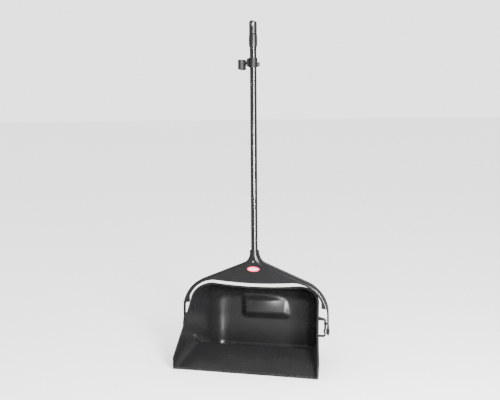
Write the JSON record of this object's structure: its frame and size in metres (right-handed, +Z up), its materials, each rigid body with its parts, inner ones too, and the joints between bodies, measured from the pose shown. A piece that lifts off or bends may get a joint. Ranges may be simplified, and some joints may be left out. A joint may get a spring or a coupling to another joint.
{
  "type": "lobby dust pan",
  "caption": "Upright lobby dust pan: deep hooded pan with ramp and well, swinging yoke, long tube handle with grip and hang hole, and a broom clip.",
  "frame": {"origin": "on the floor, at the middle of the footprint", "axes": "+Z up along the handle, -Y out of the pan's mouth, +X to the right when facing the mouth"},
  "size_m": [0.4386, 0.26, 0.9783],
  "materials": {
    "pan_plastic": "satin black moulding",
    "yoke_plastic": "satin black moulding",
    "badge_red": "glossy red, plain",
    "tube_paint": "gloss black coating on steel",
    "grip_plastic": "satin black",
    "clip_plastic": "satin black",
    "inner_plastic": "plain black",
    "washer_plastic": "natural white",
    "pin_plastic": "plain black",
    "fastener_steel": "zinc plated"
  },
  "bodies": {
    "pan": {"pan_shell": "pan_plastic", "left_pivot_pin": "pin_plastic", "right_pivot_pin": "pin_plastic", "left_pivot_washer": "washer_plastic", "right_pivot_washer": "washer_plastic", "left_pin_retainer": "fastener_steel", "right_pin_retainer": "fastener_steel"},
    "handle": {"yoke": "yoke_plastic", "yoke_badge": "badge_red", "handle_tube": "tube_paint", "tube_plug": "inner_plastic", "socket_screw": "fastener_steel", "socket_nut": "fastener_steel", "grip_sleeve": "grip_plastic", "hang_cap": "grip_plastic", "clip_collar": "clip_plastic", "clip_jaw": "clip_plastic", "clip_rivet": "fastener_steel", "clip_screw": "fastener_steel", "clip_nut": "fastener_steel"}
  },
  "joints": [
    {"name": "handle_swing", "type": "hinge", "parent": "pan", "child": "handle", "pos_m": [0, -0.01, 0.102], "axis": [1, 0, 0], "range_deg": [0, 75]}
  ]
}
